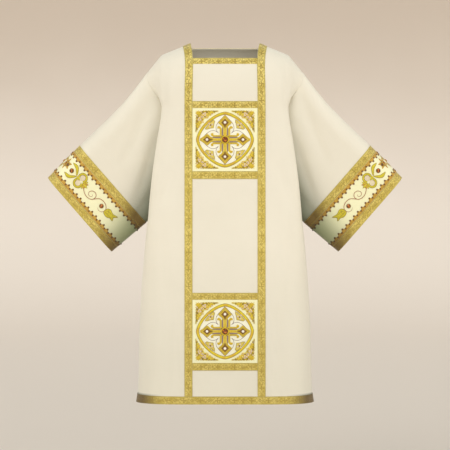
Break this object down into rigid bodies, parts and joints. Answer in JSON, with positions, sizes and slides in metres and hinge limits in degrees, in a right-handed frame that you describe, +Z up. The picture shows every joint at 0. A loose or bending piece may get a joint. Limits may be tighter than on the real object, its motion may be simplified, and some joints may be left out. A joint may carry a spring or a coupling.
{
  "type": "dalmatic",
  "caption": "Worn dalmatic: a long ivory tunic with wide open sleeves and a square neck, trimmed with gold braid, embroidered cross squares and jewelled cuff bands; hollow inside.",
  "frame": {"origin": "midway between the two shoulder seams, where the wearer's shoulders carry the cloth", "axes": "+Z up, the front faces -Y, +X is the wearer's left"},
  "size_m": [1.238, 0.327, 1.2463],
  "materials": {
    "ivory_cloth": "matt ivory wool-mix cloth with a fine plain weave",
    "gold_braid": "woven metallic gold galloon with a slight gloss",
    "cream_satin": "pale cream satin embroidery ground",
    "gold_embroidery": "raised satin-stitch gold thread",
    "garnet_glass": "polished red-brown glass"
  },
  "bodies": {
    "root": {"front_panel": "ivory_cloth", "back_panel": "ivory_cloth", "sleeve_left": "ivory_cloth", "sleeve_right": "ivory_cloth", "clavus_left": "gold_braid", "clavus_right": "gold_braid", "neck_braid_front": "gold_braid", "neck_braid_back": "gold_braid", "bar_upper_top": "gold_braid", "bar_upper_foot": "gold_braid", "bar_lower_top": "gold_braid", "bar_lower_foot": "gold_braid", "hem_braid": "gold_braid", "cuff_braid_inner_left": "gold_braid", "cuff_braid_outer_left": "gold_braid", "cuff_braid_inner_right": "gold_braid", "cuff_braid_outer_right": "gold_braid", "square_upper": "cream_satin", "square_lower": "cream_satin", "cuff_band_left": "cream_satin", "cuff_band_right": "cream_satin", "ring_upper": "gold_embroidery", "ring_lower": "gold_embroidery", "cross_upper": "gold_embroidery", "cross_lower": "gold_embroidery", "sprig_upper_1": "gold_embroidery", "sprig_upper_2": "gold_embroidery", "sprig_upper_3": "gold_embroidery", "sprig_upper_4": "gold_embroidery", "sprig_lower_1": "gold_embroidery", "sprig_lower_2": "gold_embroidery", "sprig_lower_3": "gold_embroidery", "sprig_lower_4": "gold_embroidery", "stone_upper": "garnet_glass", "stone_lower": "garnet_glass", "cuff_stone_left_front_1": "garnet_glass", "cuff_stone_left_front_2": "garnet_glass", "cuff_stone_left_back_1": "garnet_glass", "cuff_stone_left_back_2": "garnet_glass", "cuff_stone_right_front_1": "garnet_glass", "cuff_stone_right_front_2": "garnet_glass", "cuff_stone_right_back_1": "garnet_glass", "cuff_stone_right_back_2": "garnet_glass"}
  },
  "joints": []
}
